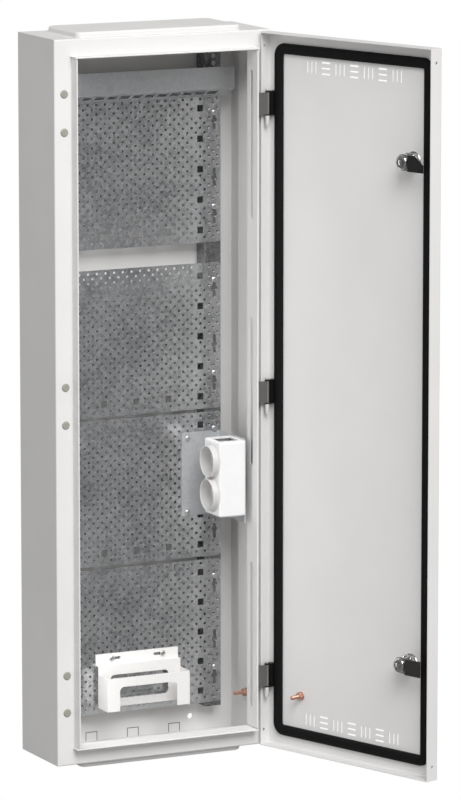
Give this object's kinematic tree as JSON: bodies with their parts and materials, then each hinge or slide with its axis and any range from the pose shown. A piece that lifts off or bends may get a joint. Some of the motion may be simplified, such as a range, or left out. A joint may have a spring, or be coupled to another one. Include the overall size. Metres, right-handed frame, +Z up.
{
  "type": "multimedia distribution box",
  "caption": "Wall-mounted multimedia distribution box with an open hinged door, perforated mounting plates, a cable tray, a double socket outlet and a device holder.",
  "frame": {"origin": "on the flat back face, at the centre of the four wall holes", "axes": "+X right of someone facing the box, +Y into the wall, +Z up, with the door hinged at +X and the front facing -Y"},
  "size_m": [0.4273, 0.4285, 1.015],
  "materials": {
    "paint": "satin light grey powder coat",
    "zinc": "spangled galvanised sheet",
    "bright_zinc": "bright zinc plated",
    "casting": "matt grey zinc casting",
    "black": "matt black",
    "cam": "dark phosphated steel",
    "chrome": "bright chrome",
    "copper": "copper plated",
    "seal": "matt foamed seal",
    "white_plastic": "moulded, satin",
    "tip": "moulded, matt",
    "plug": "moulded, matt"
  },
  "bodies": {
    "cabinet": {"left_wall": "paint", "right_wall": "paint", "top_wall": "paint", "bottom_wall": "paint", "back_wall": "paint", "top_gland_cover": "paint", "bottom_gland_cover": "paint", "device_holder": "paint", "left_rail": "zinc", "right_rail": "zinc", "mounting_plate_1": "zinc", "mounting_plate_2": "zinc", "mounting_plate_3": "zinc", "mounting_plate_4": "zinc", "cable_tray": "zinc", "socket_bracket": "zinc", "plate_screws": "bright_zinc", "tray_screws": "bright_zinc", "bracket_screws": "bright_zinc", "holder_screws": "bright_zinc", "hinge_pins": "bright_zinc", "socket_housing": "white_plastic", "socket_cups": "white_plastic", "blanking_plugs": "plug", "cabinet_earth_stud": "copper", "upper_hinge_block": "casting", "middle_hinge_block": "casting", "lower_hinge_block": "casting", "hinge_pin_tips": "tip"},
    "door": {"door_panel": "paint", "door_seal": "seal", "door_earth_stud": "copper", "upper_lock_body": "chrome", "lower_lock_body": "chrome", "upper_hinge_fork": "black", "middle_hinge_fork": "black", "lower_hinge_fork": "black"},
    "upper_lock": {"upper_lock_cam": "cam", "upper_cam_nut": "chrome"},
    "lower_lock": {"lower_lock_cam": "cam", "lower_cam_nut": "chrome"}
  },
  "joints": [
    {"name": "door_hinge", "type": "hinge", "parent": "cabinet", "child": "door", "pos_m": [0.152, -0.1306, 0], "axis": [0, 0, 1], "range_deg": [-109.1, 0.9]},
    {"name": "upper_lock_turn", "type": "hinge", "parent": "door", "child": "upper_lock", "pos_m": [0.22927, -0.38216, 0.343], "axis": [-0.9449, -0.3272, 0], "range_deg": [0, 90]},
    {"name": "lower_lock_turn", "type": "hinge", "parent": "door", "child": "lower_lock", "pos_m": [0.22927, -0.38216, -0.343], "axis": [-0.9449, -0.3272, 0], "range_deg": [0, 90]}
  ]
}
